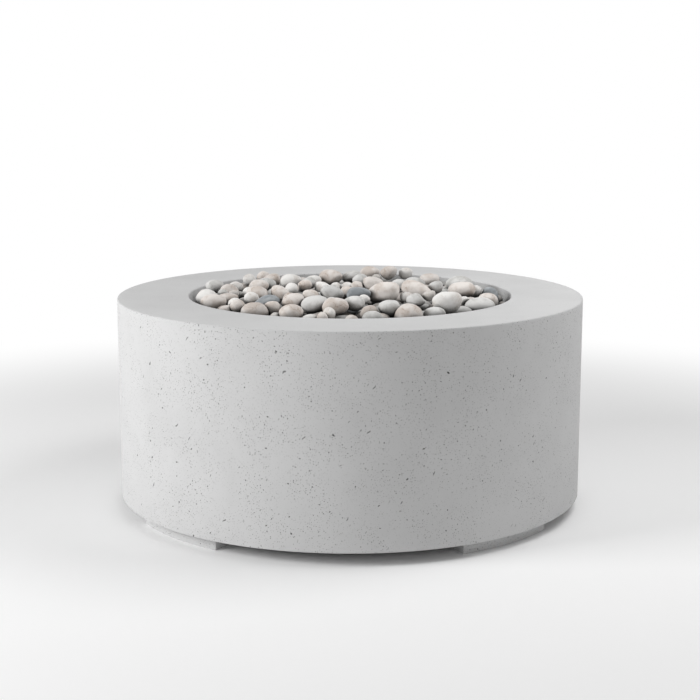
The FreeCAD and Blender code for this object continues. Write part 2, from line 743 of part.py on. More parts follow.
def lay_low_stone(chance, heap, share):
    """Put one more stone on the lava rock, where there is most room for it."""
    short, long = low_stone_lengths
    length = long - share * (long - short)
    tone = chance.choices(tones, tone_weights)[0]
    height = chance.uniform(*low_stone_heights)
    lean = chance.uniform(-low_stone_lean, low_stone_lean)
    stone = Stone(chance, length, height, lean, tone, low_stone_sides)
    limit = opening_radius - low_stone_wall_gap
    places = []
    while len(places) < place_try_count:
        r = limit * math.sqrt(chance.random())
        a = chance.uniform(0, 2 * math.pi)
        x, y = r * math.cos(a), r * math.sin(a)
        if stone.reach(x, y) <= limit:
            places.append((room_at(x, y, stone.radius, heap), x, y))
    _, x, y = max(places)
    stone.place = [x, y, resting_height(stone, x, y, heap)]
    heap.append(stone)


def lay_by_hand(chance, rows, heap):
    """Lay each stone near its place, where its top comes nearest to the height asked for."""
    limit = opening_radius - stone_wall_gap
    steps = (0.0, -0.5, 0.5, -1.0, 1.0)
    for across, back, length, height, top, lean, tone in rows:
        stone = Stone(chance, length, height, lean, tone)
        way = limit - stone.radius
        places = []
        for side, forward in [(side, forward) for side in steps for forward in steps]:
            x = across * way + side * settle_across
            y = back * way + forward * settle_back
            if stone.reach(x, y) <= limit or not places:
                rest = resting_height(stone, x, y, heap)
                places.append((abs(rest + stone.high - drum_height - top), [x, y, rest]))
        stone.place = min(places, key=lambda p: p[0])[1]
        heap.append(stone)


def make_stones():
    """The heap: rim stones first, then a low layer between them, then the upper stones."""
    chance = random.Random(stone_seed)
    heap = []
    lay_by_hand(chance, rim_stones, heap)
    for i in range(low_stone_count):
        lay_low_stone(chance, heap, i / low_stone_count)
    lay_by_hand(chance, upper_stones, heap)
    tops = [s.place[2] + s.high - drum_height for s in heap]
    print(len(heap), "stones, the highest", round(max(tops), 1), "mm above the rim")
    return heap


def main():
    os.makedirs("parts", exist_ok=True)
    save("shell", [make_shell()])
    names = ("foot_back_right", "foot_back_left", "foot_front_left", "foot_front_right")
    for name, angle in zip(names, spaced(foot_count, foot_first_angle)):
        save(name, [make_foot(angle)])
    save("foot_bolts", make_foot_bolts())
    save("threaded_inserts", make_inserts())
    save("burner_pan", [make_pan()])
    save("ring_burner", [make_burner()])
    save("burner_standoffs", make_standoffs())
    save("gas_nipple", [make_nipple()])
    nut_bore = nipple_radius + fit_clearance
    nut_base = vec(0, 0, ledge_level - nut_thickness)
    save("pan_lock_nut", [make_nut(nut_flats, nut_thickness, nut_bore, nut_base)])
    save("pan_washer", [make_nut(washer_flats, washer_thickness, nut_bore, vec(0, 0, pan_level))])
    save("elbow", [make_elbow()])
    save("air_mixer", [make_mixer()])
    save("gas_jet", [make_jet()])
    save("gas_line", [make_gas_line()])
    save("flare_nuts", make_flare_nuts())
    save("valve_body", [make_valve_body()])
    save("valve_plug", [make_valve_plug()])
    save("valve_cap", [make_valve_cap()])
    save("valve_lock_nut", [make_lock_nut()])
    save("escutcheon", [make_escutcheon()])
    save("gas_key", [make_key()])
    save("lava_rock", [make_bed()])
    heap = make_stones()
    for tone in tones:
        save("stones_" + tone, [s.solid() for s in heap if s.tone == tone])


main()
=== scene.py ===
import random
from functools import partial
from math import cos, hypot, pi, radians, sin, sqrt

import bmesh
import bpy
import numpy as np
from mathutils import Matrix, Vector, noise


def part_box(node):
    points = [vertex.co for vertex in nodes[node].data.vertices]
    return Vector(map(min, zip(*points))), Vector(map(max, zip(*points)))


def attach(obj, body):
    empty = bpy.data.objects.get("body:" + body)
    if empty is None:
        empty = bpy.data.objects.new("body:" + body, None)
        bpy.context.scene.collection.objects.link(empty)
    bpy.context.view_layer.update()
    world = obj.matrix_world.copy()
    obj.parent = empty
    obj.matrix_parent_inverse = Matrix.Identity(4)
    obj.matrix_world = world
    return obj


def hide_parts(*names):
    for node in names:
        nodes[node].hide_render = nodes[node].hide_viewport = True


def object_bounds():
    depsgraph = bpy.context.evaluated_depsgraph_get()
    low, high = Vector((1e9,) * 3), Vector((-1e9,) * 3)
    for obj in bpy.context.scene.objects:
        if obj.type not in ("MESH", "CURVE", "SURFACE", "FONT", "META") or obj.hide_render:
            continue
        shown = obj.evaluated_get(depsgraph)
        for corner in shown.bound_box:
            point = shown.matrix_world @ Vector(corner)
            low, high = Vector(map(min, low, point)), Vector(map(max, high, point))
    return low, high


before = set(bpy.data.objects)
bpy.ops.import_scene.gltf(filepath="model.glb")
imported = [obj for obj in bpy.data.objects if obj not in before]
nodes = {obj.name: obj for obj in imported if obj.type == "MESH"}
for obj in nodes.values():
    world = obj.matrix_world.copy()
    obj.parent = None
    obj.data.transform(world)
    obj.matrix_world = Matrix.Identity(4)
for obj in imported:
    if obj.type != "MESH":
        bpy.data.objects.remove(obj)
cadLow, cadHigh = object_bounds()
mm = 0.001
print("frame loaded,", len(nodes), "CAD pieces")


# Colours and shader nodes

def hexColour(text):    # an sRGB hex value as linear red, green, blue and alpha
    parts = [int(text[i:i + 2], 16) / 255 for i in (1, 3, 5)]
    return tuple(c / 12.92 if c <= 0.04045 else ((c + 0.055) / 1.055) ** 2.4 for c in parts) + (1.0,)


def addNode(tree, kind, inputs=None, operation=None, **settings):    # an input is a value, socket or node
    node = tree.nodes.new("ShaderNode" + kind)
    if operation:
        node.operation = operation
    for name, value in settings.items():
        setattr(node, name, value)
    for name, value in (inputs or {}).items():
        if isinstance(value, bpy.types.Node):
            value = next(output for output in value.outputs if output.enabled)
        if isinstance(value, bpy.types.NodeSocket):
            tree.links.new(value, node.inputs[name])
        else:
            node.inputs[name].default_value = value
    return node


smooth = {"interpolation_type": "SMOOTHSTEP"}    # eases a range in and out
inColour = {"data_type": "RGBA"}    # mixes colours, where 0 is the share, 6 the first colour and 7 the second


def newMaterial(name):    # with a call that adds a node to it, and the place on the object
    material = bpy.data.materials.new(name)
    material.use_nodes = True
    material.node_tree.nodes.clear()
    add = partial(addNode, material.node_tree)
    return material, add, add("TexCoord").outputs["Object"]


# Glass-fibre concrete, cast in a smooth mould and sealed: chalky and matt, a shade cloudy, and
# peppered with the pinholes, blowholes and slanting drag marks that trapped air leaves
concrete = {
    "colour": "#CECECE",
    "cloud": "#C9C9C9",
    # the hole colour is painted shade, for the dark inside a hole
    "hole": "#434342",
    "roughness": 0.82,
    "specular": 0.3,
    "cloudSize": 190 * mm,
    "patchSize": 75 * mm,      # pinholes come in patches,
    "patchLeast": 0.3,         # and this share of them is left between the patches
    "sand": 0.7 * mm,          # drawn twice as coarse as it is, so that it shows
    "sandRelief": 0.08,        # against the depth of a hole
    "holeDepth": 0.8 * mm,
    "strays": ((3.5 * mm, 0.6 * mm), (24 * mm, 9 * mm)),    # ragged hole edges, and bent drag marks
    "topShare": 0.22,          # the top was the mould's polished floor and shows few holes
    "topFrom": 1 * mm,         # the change begins this far below it,
    "topTo": 0.2 * mm,         # and ends here
}
airHoles = {    # the width is a hole's radius, share is how many cells hold one, and dark is how strongly shade is painted into it
    "pinholes": {"spacing": 4.2 * mm, "width": 0.9 * mm, "share": 0.85, "dark": 0.9},
    "airHoles": {"spacing": 12 * mm, "width": 1.5 * mm, "share": 0.5, "dark": 0.95},
    "blowholes": {"spacing": 46 * mm, "width": 2.3 * mm, "share": 0.5, "dark": 1.0},
    "dragMarks": {"spacing": 19 * mm, "width": 1.4 * mm, "share": 0.28, "dark": 0.75, "stretch": 4.5,
                  "slant": 56},
}


def skinPlace(add, place, radius):    # the drum's skin laid flat: round the wall, and up it or out on top
    split = add("SeparateXYZ", {"Vector": place})
    back = add("Math", {0: split.outputs["Y"], 1: -1.0}, "MULTIPLY")
    turn = add("Math", {0: split.outputs["X"], 1: back}, "ARCTAN2")
    across = add("Math", {0: turn, 1: radius}, "MULTIPLY")
    flat = add("CombineXYZ", {"X": split.outputs["X"], "Y": split.outputs["Y"]})
    reach = add("VectorMath", {0: flat}, "LENGTH")
    up = add("Math", {0: split.outputs["Z"], 1: reach}, "SUBTRACT")
    return add("CombineXYZ", {"X": across, "Y": up})


def holesIn(add, place, look, dimensions, soft):    # round holes of many sizes, soft is the edge's share
    if "slant" in look:
        turn = (0, 0, -radians(look["slant"]))
        place = add("Mapping", {"Vector": place, "Rotation": turn})
        place = add("Mapping", {"Vector": place, "Scale": (1 / look["stretch"], 1.0, 1.0)})
    cells = add("TexVoronoi", {"Vector": place, "Scale": 1 / look["spacing"]}, voronoi_dimensions=dimensions)
    chosen = add("SeparateColor", {"Color": cells.outputs["Color"]})
    width = look["width"] / look["spacing"]
    size = add("MapRange", {"Value": chosen, "From Min": 1 - look["share"], "To Max": width})
    edge = add("Math", {0: size, 1: cells.outputs["Distance"]}, "SUBTRACT")
    hole = add("MapRange", {"Value": edge, "From Max": soft * width}, **smooth)
    return add("Math", {0: hole, 1: look["dark"]}, "MULTIPLY")


def makeConcrete(topLevel, radius):
    material, add, place = newMaterial("castConcrete")
    cloud = add("TexNoise", {"Vector": place, "Scale": 1 / concrete["cloudSize"], "Detail": 5.0,
                             "Roughness": 0.6})
    cloud = add("MapRange", {"Value": cloud, "From Min": 0.35, "From Max": 0.7}, **smooth)
    base = {0: cloud, 6: hexColour(concrete["colour"]), 7: hexColour(concrete["cloud"])}
    base = add("Mix", base, **inColour)
    skin = skinPlace(add, place, radius)
    for size, far in concrete["strays"]:
        stray = add("TexNoise", {"Vector": place, "Scale": 1 / size}).outputs["Color"]
        stray = add("VectorMath", {0: stray, 1: (0.5, 0.5, 0.5)}, "SUBTRACT")
        stray = add("VectorMath", {0: stray, "Scale": 2 * far}, "SCALE")
        skin = add("VectorMath", {0: skin, 1: stray}, "ADD")
    patch = add("TexNoise", {"Vector": place, "Scale": 1 / concrete["patchSize"], "Detail": 3.0})
    patch = add("MapRange", {"Value": patch, "From Min": 0.36, "From Max": 0.6,
                             "To Min": concrete["patchLeast"]}, **smooth)
    holes = 0.0
    for kind, look in airHoles.items():
        found = holesIn(add, skin, look, "2D", 0.4)
        if kind in ("pinholes", "airHoles"):
            found = add("Math", {0: found, 1: patch}, "MULTIPLY")
        holes = add("Math", {0: holes, 1: found}, "MAXIMUM")
    height = add("SeparateXYZ", {"Vector": place}).outputs["Z"]
    side = add("MapRange", {"Value": height, "From Min": topLevel - concrete["topFrom"],
                            "From Max": topLevel - concrete["topTo"], "To Min": 1.0,
                            "To Max": concrete["topShare"]}, **smooth)
    holes = add("Math", {0: holes, 1: side}, "MULTIPLY")
    # painted shade: the holes take a dark colour for the shade inside them
    colour = add("Mix", {0: holes, 6: base, 7: hexColour(concrete["hole"])}, **inColour)
    sand = add("TexNoise", {"Vector": place, "Scale": 1 / concrete["sand"], "Detail": 3.0})
    sand = add("Math", {0: sand, 1: concrete["sandRelief"]}, "MULTIPLY")
    relief = add("Math", {0: sand, 1: holes}, "SUBTRACT")
    bump = add("Bump", {"Strength": 0.8, "Distance": concrete["holeDepth"], "Height": relief})
    shader = add("BsdfPrincipled", {"Base Color": colour, "Roughness": concrete["roughness"],
                                    "Specular IOR Level": concrete["specular"], "Normal": bump})
    add("OutputMaterial", {"Surface": shader})
    return material


# Rolled fire stone: sea-worn and dry, so chalky and matt, with soft mineral clouds, a few rusty
# threads and fine dark pocks
stoneLooks = {
    "pale": {"colour": "#EFEDEA", "cloud": "#DBD6D1", "thread": "#AD9683", "mottle": 0.45},
    "warm": {"colour": "#E8E2DD", "cloud": "#D2C8C0", "thread": "#A18670", "mottle": 0.55},
    "grey": {"colour": "#DDDCDA", "cloud": "#C3C2BF", "thread": "#98928A", "mottle": 0.4},
    "dark": {"colour": "#A9ADB0", "cloud": "#8C9195", "thread": "#6F6C69", "mottle": 0.35},
}
stoneFinish = {
    "roughness": 0.66,
    "specular": 0.35,
    "cloud": {"Scale": 1 / (26 * mm), "Detail": 3.0, "Roughness": 0.5},
    "stain": {"Scale": 1 / (11 * mm), "Detail": 6.0, "Roughness": 0.7},
    "thread": {"Scale": 1 / (30 * mm), "Detail": 4.0, "Roughness": 0.55},
    "pock": {"spacing": 7 * mm, "width": 0.8 * mm, "share": 0.35, "dark": 0.55},
    "pockColour": "#5A524B",
    "stainShare": 0.6,         # of the mottle that a stain takes
    "grain": 1.2 * mm,         # drawn coarser than the stone's own grain, so that it shows
    "relief": 0.5 * mm,
    "lightest": 1.06,
    "darkest": 0.88,
    "crevice": 34 * mm,        # where stones this near shut out the light the colour darkens, so that
    "creviceLeft": 0.1,        # the gaps are as deep as in the photograph, down to this share of it
    "depthShadeFrom": 9 * mm,        # painted shade: the heap darkens with depth too, from here above the rim to here below it, where the share below is all of the light colour that is left
    "depthShadeTo": -22 * mm,        # to here below it, where depthShadeLeft of the light colour is left
    "depthShadeLeft": 0.28,
}


def makeStone(tone, rim):
    look, finish = stoneLooks[tone], stoneFinish
    material, add, place = newMaterial(tone + "RolledStone")
    own = add("Attribute", attribute_name="stoneShade").outputs["Fac"]    # another on each stone
    shift = add("Math", {0: own, 1: 40.0}, "MULTIPLY")    # so that no two stones share their marks
    other = add("Math", {0: shift, 1: 7.0}, "ADD")
    noises = {}
    for kind, w in (("cloud", shift), ("stain", shift), ("thread", other)):
        noises[kind] = add("TexNoise", {"Vector": place, "W": w, **finish[kind]}, noise_dimensions="4D")
    clouds = add("MapRange", {"Value": noises["cloud"], "From Min": 0.42, "From Max": 0.62}, **smooth)
    colour = {0: clouds, 6: hexColour(look["colour"]), 7: hexColour(look["cloud"])}
    colour = add("Mix", colour, **inColour)
    stains = add("MapRange", {"Value": noises["stain"], "From Min": 0.55, "From Max": 0.74,
                              "To Max": finish["stainShare"] * look["mottle"]}, **smooth)
    colour = add("Mix", {0: stains, 6: colour, 7: hexColour(look["thread"])}, **inColour)
    line = add("Math", {0: noises["thread"], 1: 0.5}, "SUBTRACT")
    line = add("Math", {0: line}, "ABSOLUTE")
    line = add("MapRange", {"Value": line, "From Min": 0.002, "From Max": 0.012, "To Min": 1.0,
                            "To Max": 0.0}, **smooth)
    near = add("MapRange", {"Value": noises["cloud"], "From Min": 0.45, "From Max": 0.6}, **smooth)
    line = add("Math", {0: line, 1: near}, "MULTIPLY")
    rust = add("Math", {0: line, 1: look["mottle"]}, "MULTIPLY")
    colour = add("Mix", {0: rust, 6: colour, 7: hexColour(look["thread"])}, **inColour)
    grain = add("TexNoise", {"Vector": place, "Scale": 1 / finish["grain"], "Detail": 3.0, "Roughness": 0.7})
    light = add("MapRange", {"Value": own, "To Min": finish["darkest"], "To Max": finish["lightest"]})
    speckle = add("MapRange", {"Value": grain, "From Min": 0.3, "From Max": 0.7, "To Min": 0.94,
                               "To Max": 1.05}, **smooth)
    # painted shade: the colour darkens deeper in the heap and where near stones shut out the light
    height = add("SeparateXYZ", {"Vector": place}).outputs["Z"]
    depthShade = add("MapRange", {"Value": height, "From Min": rim + finish["depthShadeTo"],
                            "From Max": rim + finish["depthShadeFrom"], "To Min": finish["depthShadeLeft"]}, **smooth)
    bare = add("AmbientOcclusion", {"Distance": finish["crevice"]}, samples=8).outputs["AO"]
    crevice = add("MapRange", {"Value": bare, "From Min": 0.15, "From Max": 0.85,
                               "To Min": finish["creviceLeft"]}, **smooth)
    for part in (speckle, depthShade, crevice):
        light = add("Math", {0: light, 1: part}, "MULTIPLY")
    colour = add("Mix", {0: 1.0, 6: colour, 7: light}, blend_type="MULTIPLY", **inColour)
    pock = holesIn(add, place, finish["pock"], "3D", 0.5)
    colour = add("Mix", {0: pock, 6: colour, 7: hexColour(finish["pockColour"])}, **inColour)
    relief = add("Math", {0: grain, 1: 0.3}, "MULTIPLY")
    rough = add("Math", {0: noises["stain"], 1: 0.4}, "MULTIPLY")
    relief = add("Math", {0: relief, 1: rough}, "ADD")
    groove = add("Math", {0: line, 1: 0.3}, "MULTIPLY")
    for dip in (pock, groove):
        relief = add("Math", {0: relief, 1: dip}, "SUBTRACT")
    bump = add("Bump", {"Strength": 0.35, "Distance": finish["relief"], "Height": relief})
    shader = add("BsdfPrincipled", {"Base Color": colour, "Roughness": finish["roughness"],
                                    "Specular IOR Level": finish["specular"], "Normal": bump})
    add("OutputMaterial", {"Surface": shader})
    return material


# Lava rock: crushed scoria, dull and full of bubbles, charcoal with a rusty cast
lavaLook = {"colour": "#1C1918", "rust": "#2E211D", "rustSize": 40 * mm, "bubble": 2.2 * mm,
            "depth": 1.0 * mm, "roughness": 0.95, "specular": 0.2}


def makeLava():
    material, add, place = newMaterial("crushedLavaRock")
    rust = add("TexNoise", {"Vector": place, "Scale": 1 / lavaLook["rustSize"], "Detail": 3.0})
    rust = add("MapRange", {"Value": rust, "From Min": 0.45, "From Max": 0.65}, **smooth)
    colour = {0: rust, 6: hexColour(lavaLook["colour"]), 7: hexColour(lavaLook["rust"])}
    colour = add("Mix", colour, **inColour)
    bubbles = add("TexVoronoi", {"Vector": place, "Scale": 1 / lavaLook["bubble"]})
    bump = add("Bump", {"Strength": 1.0, "Distance": lavaLook["depth"], "Height": bubbles})
    shader = add("BsdfPrincipled", {"Base Color": colour, "Roughness": lavaLook["roughness"],
                                    "Specular IOR Level": lavaLook["specular"], "Normal": bump})
    add("OutputMaterial", {"Surface": shader})
    return material


# Metals: stainless sheet and tube brushed along one way, zinc plate, brass and chrome plate
metalLooks = {
    "brushedStainless": {"colour": "#C9C8C5", "roughness": 0.34, "streak": 0.5 * mm, "relief": 0.05 * mm},
    "zincPlatedSteel": {"colour": "#B4B7BA", "roughness": 0.42, "streak": 3.0 * mm, "relief": 0.05 * mm},
    "turnedBrass": {"colour": "#BFA066", "roughness": 0.28, "streak": 1.0 * mm, "relief": 0.04 * mm},
    "chromePlate": {"colour": "#DCDDDF", "roughness": 0.07, "streak": 20.0 * mm, "relief": 0.01 * mm},
}
metalWear = {"stain": 30 * mm, "squeeze": 0.04, "clean": 0.85, "worn": 1.25, "stained": 0.88}


def makeMetal(name):
    look = metalLooks[name]
    material, add, place = newMaterial(name)
    squeezed = add("Mapping", {"Vector": place, "Scale": (metalWear["squeeze"], 1.0, 1.0)})
    streak = add("TexNoise", {"Vector": squeezed, "Scale": 1 / look["streak"], "Detail": 3.0})
    stain = add("TexNoise", {"Vector": place, "Scale": 1 / metalWear["stain"], "Detail": 3.0})
    dull = add("MapRange", {"Value": stain, "From Min": 0.35, "From Max": 0.7,
                            "To Min": look["roughness"] * metalWear["clean"],
                            "To Max": look["roughness"] * metalWear["worn"]}, **smooth)
    tone = add("MapRange", {"Value": stain, "From Min": 0.3, "From Max": 0.75, "To Min": 1.0,
                            "To Max": metalWear["stained"]}, **smooth)
    colour = {0: 1.0, 6: hexColour(look["colour"]), 7: tone}
    colour = add("Mix", colour, blend_type="MULTIPLY", **inColour)
    bump = add("Bump", {"Strength": 0.4, "Distance": look["relief"], "Height": streak})
    shader = add("BsdfPrincipled", {"Base Color": colour, "Metallic": 1.0, "Roughness": dull, "Normal": bump})
    add("OutputMaterial", {"Surface": shader})
    return material


shellLow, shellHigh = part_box("shell")
materials = {"concrete": makeConcrete(shellHigh.z, shellHigh.x), "lava": makeLava()}
for tone in stoneLooks:
    materials[tone] = makeStone(tone, shellHigh.z)
for metal in metalLooks:
    materials[metal] = makeMetal(metal)
print("materials made")


# Making pieces

def placed(data, name="work"):
    piece = bpy.data.objects.new(name, data)
    bpy.context.scene.collection.objects.link(piece)
    return piece


def addPiece(name, mesh, material, replaced=(), body="root"):    # it stands for the CAD nodes replaced
    piece = placed(mesh, name)
    mesh.materials.clear()
    mesh.materials.append(materials[material])
    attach(piece, body)
    if replaced:
        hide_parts(*replaced)


def newMesh(points, faces):
    mesh = bpy.data.meshes.new("work")
    mesh.from_pydata(points, [], faces)
    return mesh


def written(work):    # an edit made into a mesh of its own
    mesh = bpy.data.meshes.new("work")
    work.to_mesh(mesh)
    work.free()
    return mesh


def smoothed(mesh, angle=35):
    mesh.shade_smooth()
    mesh.set_sharp_from_angle(angle=radians(angle))
    return mesh


def applied(piece):    # the mesh with its modifiers made real, and the working piece removed
    graph = bpy.context.evaluated_depsgraph_get()
    mesh = bpy.data.meshes.new_from_object(piece.evaluated_get(graph))
    bpy.data.objects.remove(piece)
    return mesh


def arcPoints(centre, radius, start, end, steps):    # an arc in a (radius, height) outline, in degrees
    points = []
    for i in range(steps + 1):
        a = radians(start + (end - start) * i / steps)
        points.append((centre[0] + radius * cos(a), centre[1] + radius * sin(a)))
    return points


def turnedMesh(outline, segments):    # a closed outline of (radius, height) turned about Z
    count = len(outline)
    vertices = []
    for i in range(segments):
        a = 2 * pi * i / segments
        vertices += [(r * cos(a), r * sin(a), z) for r, z in outline]
    faces = []
    for i in range(segments):
        here, there = i * count, (i + 1) % segments * count
        for j in range(count):
            k = (j + 1) % count
            faces.append((here + j, there + j, there + k, here + k))
    return newMesh(vertices, faces)


def cleaned(mesh):    # doubled points merged and every face turned outward
    work = bmesh.new()
    work.from_mesh(mesh)
    bmesh.ops.remove_doubles(work, verts=work.verts, dist=0.002 * mm)
    bmesh.ops.dissolve_degenerate(work, edges=work.edges, dist=0.002 * mm)
    bmesh.ops.recalc_face_normals(work, faces=work.faces)
    return written(work)


def turnedPart(outline, segments, start, way):    # its axis runs from start along way
    mesh = cleaned(turnedMesh(outline, segments))
    turn = Vector((0, 0, 1)).rotation_difference(Vector(way)).to_matrix().to_4x4()
    mesh.transform(Matrix.Translation(start) @ turn)
    return mesh


def joined(*meshes):
    whole = bmesh.new()
    for mesh in meshes:
        whole.from_mesh(mesh)
    return written(whole)


def boxMesh(low, high):
    work = bmesh.new()
    bmesh.ops.create_cube(work, size=1.0)
    middle, size = (Vector(low) + Vector(high)) / 2, Vector(high) - Vector(low)
    for vertex in work.verts:
        vertex.co = vertex.co * size + middle
    return written(work)


def carved(mesh, cutters):    # the mesh with the cutters taken away
    body = placed(mesh)
    others = [placed(cutter) for cutter in cutters]
    for other in others:
        cut = body.modifiers.new("cut", "BOOLEAN")
        cut.operation, cut.solver, cut.object = "DIFFERENCE", "EXACT", other
    result = applied(body)
    for other in others:
        bpy.data.objects.remove(other)
    return result


def sweptMesh(path, sideways, section, closed=False, scales=None):    # a section carried along a flat path
    count, points = len(section), []
    for i, point in enumerate(path):
        before = path[i - 1] if i or closed else path[i]
        after = path[(i + 1) % len(path)] if i + 1 < len(path) or closed else path[i]
        across = (after - before).normalized().cross(sideways)
        scale = scales[i] if scales else 1.0
        points += [point + (across * a + sideways * b) * scale for a, b in section]
    faces = []
    for i in range(len(path) if closed else len(path) - 1):
        here, there = i * count, (i + 1) % len(path) * count
        for j in range(count):
            k = (j + 1) % count
            faces.append((here + j, here + k, there + k, there + j))
    if not closed:
        faces += [tuple(range(count)), tuple(range(len(points) - count, len(points)))[::-1]]
    return cleaned(newMesh(points, faces))


def circle(radius, count):
    return arcPoints((0, 0), radius, 0, 360, count)[:-1]


def easedCopy(node, width):    # a CAD node's own form with its sharp edges rounded over
    work = bmesh.new()
    work.from_mesh(nodes[node].data)
    bmesh.ops.remove_doubles(work, verts=work.verts, dist=0.01 * mm)
    bmesh.ops.dissolve_limit(work, angle_limit=radians(1), verts=work.verts, edges=work.edges)
    piece = placed(written(work))
    bevel = piece.modifiers.new("ease", "BEVEL")
    bevel.width, bevel.segments, bevel.limit_method = width, 3, "ANGLE"
    bevel.angle_limit = radians(32)    # the facets of a round meet at less, and stay
    return smoothed(applied(piece))


# The drum: one casting, turned, with a spot face and a hole for the key valve in its back
drum = {
    "segments": 288,
    "wallStep": 16 * mm,
    "openingRadius": 371 * mm,
    "edgeRound": 3 * mm,
    "footEdgeRound": 1.5 * mm,
    "wallThickness": 22 * mm,
    "topThickness": 26 * mm,
    "collarThickness": 20 * mm,
    "ledgeDrop": 100 * mm,
    "ledgeWidth": 30 * mm,
    "ledgeThickness": 18 * mm,
    "returnWidth": 70 * mm,
    "returnThickness": 26 * mm,
    "valveHeight": 180 * mm,
    "seatRadius": 33 * mm,
    "seatDepth": 1.6 * mm,
    "holeRadius": 13 * mm,
    "holeDepth": 44 * mm,
    "cutter": 100 * mm,        # the length of the tools that cut the seat and the hole
    "footEase": 2 * mm,
}


def sidePoints(start, end):    # points along an outline's straight side, without its ends
    a, b = Vector(start), Vector(end)
    count = max(1, round((b - a).length / drum["wallStep"]))
    return [tuple(a.lerp(b, i / count)) for i in range(1, count)]


def drumOutline():
    radius, bottom, top = shellHigh.x, shellLow.z, shellHigh.z
    opening, ease, foot = drum["openingRadius"], drum["edgeRound"], drum["footEdgeRound"]
    ledge, ledgeInner = top - drum["ledgeDrop"], opening - drum["ledgeWidth"]
    underLedge = ledge - drum["ledgeThickness"]
    inner = radius - drum["wallThickness"]
    collar = opening + drum["collarThickness"]
    underTop = top - drum["topThickness"]
    returnTop = bottom + drum["returnThickness"]
    returnInner = radius - drum["returnWidth"]
    outline = [(returnInner, bottom)]
    outline += arcPoints((radius - foot, bottom + foot), foot, -90, 0, 4)
    outline += sidePoints((radius, bottom + foot), (radius, top - ease))
    outline += arcPoints((radius - ease, top - ease), ease, 0, 90, 6)
    outline += sidePoints((radius - ease, top), (opening + ease, top))
    outline += arcPoints((opening + ease, top - ease), ease, 90, 180, 6)
    outline += sidePoints((opening, top - ease), (opening, ledge))
    outline += [(opening, ledge), (ledgeInner, ledge), (ledgeInner, underLedge), (collar, underLedge)]
    outline += [(collar, underTop), (inner, underTop)]
    outline += sidePoints((inner, underTop), (inner, returnTop))
    outline += [(inner, returnTop), (returnInner, returnTop)]
    return outline


def makeDrum():
    radius, height = shellHigh.x, drum["valveHeight"]
    cutters = []
    for wide, depth in ((drum["seatRadius"], drum["seatDepth"]), (drum["holeRadius"], drum["holeDepth"])):
        outline = [(0, 0), (wide, 0), (wide, drum["cutter"]), (0, drum["cutter"])]
        cutters.append(turnedPart(outline, 64, (0, radius - depth, height), (0, 1, 0)))
    return smoothed(carved(turnedMesh(drumOutline(), drum["segments"]), cutters), 30)


addPiece("drum", makeDrum(), "concrete", ["shell"])
for side in ("back_right", "back_left", "front_left", "front_right"):
    foot = easedCopy("foot_" + side, drum["footEase"])
    addPiece("foot." + side, foot, "concrete", ["foot_" + side])
print("drum and feet made")


# Rolled stones: each CAD stone's own place, size and lean, rounded to a pebble
pebble = {
    "detail": 4,            # rounds of an icosphere: 642 points on each pebble
    "length": 0.99,         # against the CAD stone's corners
    "height": 1.1,
    "squareness": (2.0, 2.35),    # 2 is an ellipsoid
    "egg": 0.2,
    "swells": ((1.1, 0.07), (2.6, 0.028)),    # waves on a radius, and how high they are
    "press": 4 * mm,        # how near to a neighbour's side a pebble starts to flatten
    "clear": 0.15 * mm,
    "look": 6 * mm,         # stones farther apart than this are no neighbours
    "presses": 3,
    "underTop": 0.1 * mm,   # no crown comes nearer to the highest CAD stone's
    "seed": 7,
}


def looseParts(node):    # the corner points of each separate solid in a CAD node
    work = bmesh.new()
    work.from_mesh(nodes[node].data)
    bmesh.ops.remove_doubles(work, verts=work.verts, dist=0.01 * mm)
    seen, parts = set(), []
    for first in work.verts:
        if first in seen:
            continue
        part, queue = [], [first]
        seen.add(first)
        while queue:
            vertex = queue.pop()
            part.append(tuple(vertex.co))
            for edge in vertex.link_edges:
                other = edge.other_vert(vertex)
                if other not in seen:
                    seen.add(other)
                    queue.append(other)
        parts.append(np.array(part))
    work.free()
    return sorted(parts, key=lambda p: tuple(np.round(p.mean(0), 4)))


def unitSphere(rounds):
    work = bmesh.new()
    bmesh.ops.create_icosphere(work, subdivisions=rounds, radius=1.0)
    points = np.array([v.co for v in work.verts])
    faces = np.array([[v.index for v in f.verts] for f in work.faces])
    work.free()
    return points / np.linalg.norm(points, axis=1)[:, None], faces


def makePebble(part, sphere, chance):    # one pebble on the middle, axes and reach of a CAD stone's corners
    spread = part - part.mean(0)
    _, axes = np.linalg.eigh(spread.T @ spread)
    axes = axes[:, ::-1].T
    axes[2] *= np.sign(np.linalg.det(axes))    # a mirrored set would turn the faces inside out
    along = spread @ axes.T
    reach = (along.max(0) - along.min(0)) / 2
    middle = part.mean(0) + ((along.max(0) + along.min(0)) / 2) @ axes
    upright = int(np.argmax(np.abs(axes[:, 2])))
    scale = np.full(3, pebble["length"])
    scale[upright] = pebble["height"]
    power = chance.uniform(*pebble["squareness"])
    radius = (np.abs(sphere) ** power).sum(1) ** (-1 / power)
    points = sphere * radius[:, None]
    egg = chance.uniform(-pebble["egg"], pebble["egg"])
    lean = chance.uniform(-pebble["egg"], pebble["egg"]) / 2
    points[:, 1:] *= 1 + egg * points[:, :1]
    points[:, upright] += lean * points[:, 0] * (1 - points[:, 0] ** 2)
    seed = Vector((chance.uniform(0, 50), chance.uniform(0, 50), chance.uniform(0, 50)))
    (lumps, lumpHeight), (dents, dentHeight) = pebble["swells"]
    swell = np.array([noise.noise(Vector(p) * lumps + seed) * lumpHeight
                      + noise.noise(Vector(p) * dents - seed) * dentHeight for p in points])
    points = points * (1 + swell[:, None])
    points = points * reach * scale
    return points @ axes + middle


